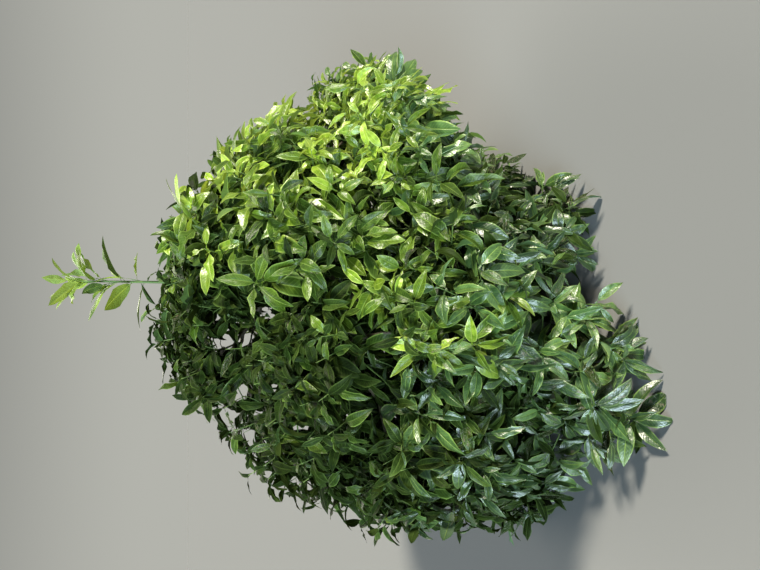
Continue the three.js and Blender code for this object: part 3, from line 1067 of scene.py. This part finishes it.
def leaf_faces():
    """One leaf's faces, as corners, sizes and each vertex's place in a look of the map."""
    columns = len(BLADE_COLUMNS)
    last = TIP - columns
    faces = grid_faces(0, len(PETIOLE_ROWS), len(PETIOLE_COLUMNS))
    faces += [(BLADE_FOOT, BLADE_FIRST + c, BLADE_FIRST + c + 1) for c in range(columns - 1)]
    faces += grid_faces(BLADE_FIRST, len(BLADE_ROWS), columns)
    faces += [(last + c, TIP, last + c + 1) for c in range(columns - 1)]
    stalk_span, blade_span = PETIOLE_SHARE - MAP_EDGE, 1 - MAP_EDGE - PETIOLE_SHARE
    places = [(0.5 + 0.3 * c, MAP_EDGE + stalk_span * r) for r in PETIOLE_ROWS for c in PETIOLE_COLUMNS]
    places += [(0.5 + 0.47 * c, PETIOLE_SHARE + blade_span * r) for r in BLADE_ROWS for c in BLADE_COLUMNS]
    places.append((0.5, 1 - MAP_EDGE))
    return np.concatenate(faces), np.array([len(face) for face in faces]), np.array(places)


def leaf_piece(name, leaves, material):
    points = leaf_points(leaves)
    count, per_leaf = points.shape[:2]
    corners, sizes, places = leaf_faces()
    all_corners = (np.arange(count)[:, None] * per_leaf + corners).ravel()
    looks = np.stack([leaves["column"], leaves["row"]], 1)
    map_places = ((looks[:, None] + places[corners]) / (MAP_COLUMNS, MAP_ROWS)).reshape(-1, 2)
    sizes, ridge = np.tile(sizes, count), np.tile(ON_MIDRIB, count)
    return make_object(name, material, points.reshape(-1, 3), all_corners, sizes, map_places, ridge)


# Trunk


def trunk_shape():
    """The trunk's solid, wrapped in fine rings with the bark's relief, under a low dome."""
    points = solid_arrays("trunk")[0]
    tree = solid_tree(["trunk"])
    low, high = points[:, 2].min(), points[:, 2].max()
    levels = np.unique(points[:, 2].round(5))
    middles = np.array([points[np.abs(points[:, 2] - level) < 1e-4][:, :2].mean(0) for level in levels])
    heights = low + (high - low) * (np.linspace(0, 1, TRUNK_RINGS) ** 1.25)
    turn = np.arange(TRUNK_SIDES) * 2 * math.pi / TRUNK_SIDES
    made = np.zeros((TRUNK_RINGS, TRUNK_SIDES, 3))
    for i, height in enumerate(heights):
        x, y = (np.interp(height, levels, middles[:, k]) for k in (0, 1))
        inside = min(max(height, low + 1e-4), high - 1e-4)
        for j, angle in enumerate(turn):
            way = Vector((math.cos(angle), math.sin(angle), 0))
            hit = tree.ray_cast(Vector((x, y, inside)) + way * 0.3, -way)
            radius = (hit[0].xy - Vector((x, y))).length
            spot = Vector((x, y, height)) + way * radius
            made[i, j] = spot + way * bark_lump(spot, 1.6) * min(1, (height - low) / 0.01 + 0.2)
    edge = made[-1]
    middle = edge.mean(0)
    for angle in DOME_ANGLES:
        closer = middle + (edge - middle) * (math.cos(angle), math.cos(angle), 1)
        made = np.concatenate([made, (closer + UP * DOME_HEIGHT * math.sin(angle))[None]])
    flat = np.vstack([made.reshape(-1, 3), made[0].mean(0), middle + UP * DOME_HEIGHT])
    quads = np.roll(ring_quads(len(made), TRUNK_SIDES)[0], 1, axis=1)
    under = end_fan(0, TRUNK_SIDES, len(flat) - 2)[:, [1, 0, 2]]
    over = end_fan((len(made) - 1) * TRUNK_SIDES, TRUNK_SIDES, len(flat) - 1)
    return flat, *flat_faces(quads, under, over)


# Putting it together


def place_camera():
    camera = new_object("camera", bpy.data.cameras.new("camera"))
    camera.data.lens = FOCAL / PHOTO_WIDTH * SENSOR
    camera.data.sensor_width = SENSOR
    down = Vector((0, -math.sin(PITCH), -math.cos(PITCH)))
    back = Vector((0, -math.cos(PITCH), math.sin(PITCH)))
    turn = Matrix((down, Vector((1, 0, 0)), back)).transposed()
    camera.matrix_world = Matrix.Translation(EYE) @ turn.to_4x4()
    bpy.context.scene.camera = camera


def place_lamp(name, azimuth, elevation, colour, strength, breadth):
    """A soft far lamp on the side given by azimuth and elevation."""
    lamp = new_object(name, bpy.data.lights.new(name, "SUN"))
    lamp.data.energy = strength
    lamp.data.color = colour
    lamp.data.angle = math.radians(breadth)
    rise = math.radians(elevation)
    way = Vector(compass(azimuth) * math.cos(rise) + UP * math.sin(rise))
    lamp.rotation_euler = way.to_track_quat("Z", "Y").to_euler()


def set_stage():
    """A pale floor and lamps under a pale backdrop that darkens towards the studio's ceiling."""
    points = [(x * FLOOR_REACH, y * FLOOR_REACH, 0) for x, y in ((-1, -1), (1, -1), (1, 1), (-1, 1))]
    floor = make_object("studio_floor", floor_material(), points, [0, 1, 2, 3], [4])
    world = bpy.data.worlds.new("studio")
    s = Shader(world)
    rise = s.split(s.node("TexCoord", output="Generated"))[2]
    tint = s.mix(s.ramp(rise, *BACKDROP_FADE), BACKDROP_COLOUR, CEILING_COLOUR)
    s.put(s.tree.nodes["Background"].inputs["Color"], tint)
    bpy.context.scene.world = world
    bpy.context.scene.view_settings.view_transform = "Standard"
    for lamp in LAMPS:
        place_lamp(*lamp)


def finish_piece(piece, slot, *replaced):
    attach(piece, "root")
    if replaced:
        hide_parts(*replaced)


def masses_with(slot):
    return [name for name in mass_names if nodes[name].data.materials[0].name.startswith(slot)]


place_camera()
set_stage()
bark = bark_material()
finish_piece(make_object("trunk_bark", bark, *trunk_shape()), "bark", "trunk")

# Boughs rise inside the trunk and leave it at the fork for their masses, where they part into branches.
# A source of branches is a place on a bough, its heading there and its radius, if it goes on.
trunk_line = centre_line("trunk")[0]
sources = []
for name in bough_names:
    line, radii = centre_line(name)
    low = [at_height(trunk_line, min(line[0, 2], FORK_HEIGHT) - depth) for depth in BOUGH_DEPTHS]
    low[1] += (line[0] - low[1]) * (0.15, 0.15, 0)
    places = np.vstack([low, line, line[-1] + unit(line[-1] - line[-2]) * 0.05])
    widths = np.concatenate([radii[:1] * 0.8, radii[:1], radii[:1] * 1.1, radii[1:], radii[-1:] * 0.95])
    bough = smooth_path(np.column_stack([places, widths]), BOUGH_STEPS)
    path, widths = bough[:, :3], bough[:, 3]
    shape = tube(path, widths, BOUGH_SIDES, relief=1.0)
    finish_piece(make_object(f"{name}_bark", bark, *shape[:3]), "bark", name)
    sources.append((path[-2], unit(path[-1] - path[-3]), widths[-2]))
    i = np.argmin(lengths(path - line[5]))
    sources.append((path[i], unit(path[i + 2] - path[i - 2] - UP * 0.02), None))

sprays = clear_gaps(crown_sprays() + inner_sprays())
shoot_foot, shoot_top, shoot_sprays = water_shoot()

# Each spray grows from the source that is nearest to it, where height counts a little more
feet = np.array([source[0] for source in sources])
owners = np.array([np.argmin(lengths((spray.base - feet) * (1, 1, 1.25))) for spray in sprays])
limbs = []
for i, (foot, heading, radius) in enumerate(sources):
    own = [sprays[j] for j in np.flatnonzero(owners == i)]
    if len(own) > 1:
        limbs += grow(foot, heading, radius or pipe(len(own)) * 1.12, own)

# The water shoot's stem rises from the end of the last bough
leader_tip = sources[-2][0]
stem_bend = leader_tip * 0.45 + shoot_foot * 0.55 + (0.02, 0, 0.05)
stem_path = smooth_path([leader_tip, stem_bend, shoot_foot, shoot_top], 34)
stem_radii = np.linspace(*STEM_RADII, len(stem_path))

wood, green = [], []
for spray in shoot_sprays:
    path = np.vstack([spray.base - spray.axis * 0.01, spray.at(0.0, 0.5, 1.0)])
    green.append(tube(path, np.linspace(0.0022, 0.0012, 4), 6))
for path, radii in limbs:
    woody = int((radii >= WOODY_RADIUS).sum())
    if woody > 1:
        wood.append(tube(path[:woody], radii[:woody], BRANCH_SIDES))
        path, radii = path[woody - 1 :], radii[woody - 1 :]
    green.append(tube(path, radii, TWIG_SIDES))

wood_look = twig_material("young_wood", (0.082, 0.067, 0.042), (0.145, 0.126, 0.084), (0.25, 0.22, 0.16))
green_look = twig_material("green_twig", (0.060, 0.120, 0.022), (0.130, 0.205, 0.045), (0.26, 0.28, 0.13))
finish_piece(make_object("branches", wood_look, *join(wood)), "bark")
finish_piece(make_object("twigs", green_look, *join(green)), "green_stem")
stem = make_object("water_shoot_stem", green_look, *tube(stem_path, stem_radii, 12))
finish_piece(stem, "green_stem", "shoot_stem")

# The first piece of a colour with the name of a slot stands for the masses that have the slot
grown = [spray.grown for spray in sprays + shoot_sprays]
leaves = {key: np.concatenate([own[key] for own in grown]) for key in grown[0]}
for number, foliage in enumerate(FOLIAGE):
    material = leaf_material(foliage)
    own = np.flatnonzero(leaves["tone"] == number)
    own = own[np.argsort([azimuth_of(leaves["base"][i]) for i in own], kind="stable")]
    groups = np.array_split(own, math.ceil(len(own) / MOST_LEAVES))
    replaced = masses_with(f"{foliage.name}_leaf")
    for part, group in enumerate(groups):
        ending = f"_{part + 1}" if len(groups) > 1 else ""
        piece = leaf_piece(f"leaves_{foliage.name}{ending}", chosen_rows(leaves, group), material)
        finish_piece(piece, foliage.slot, *(replaced if part == 0 else ()))
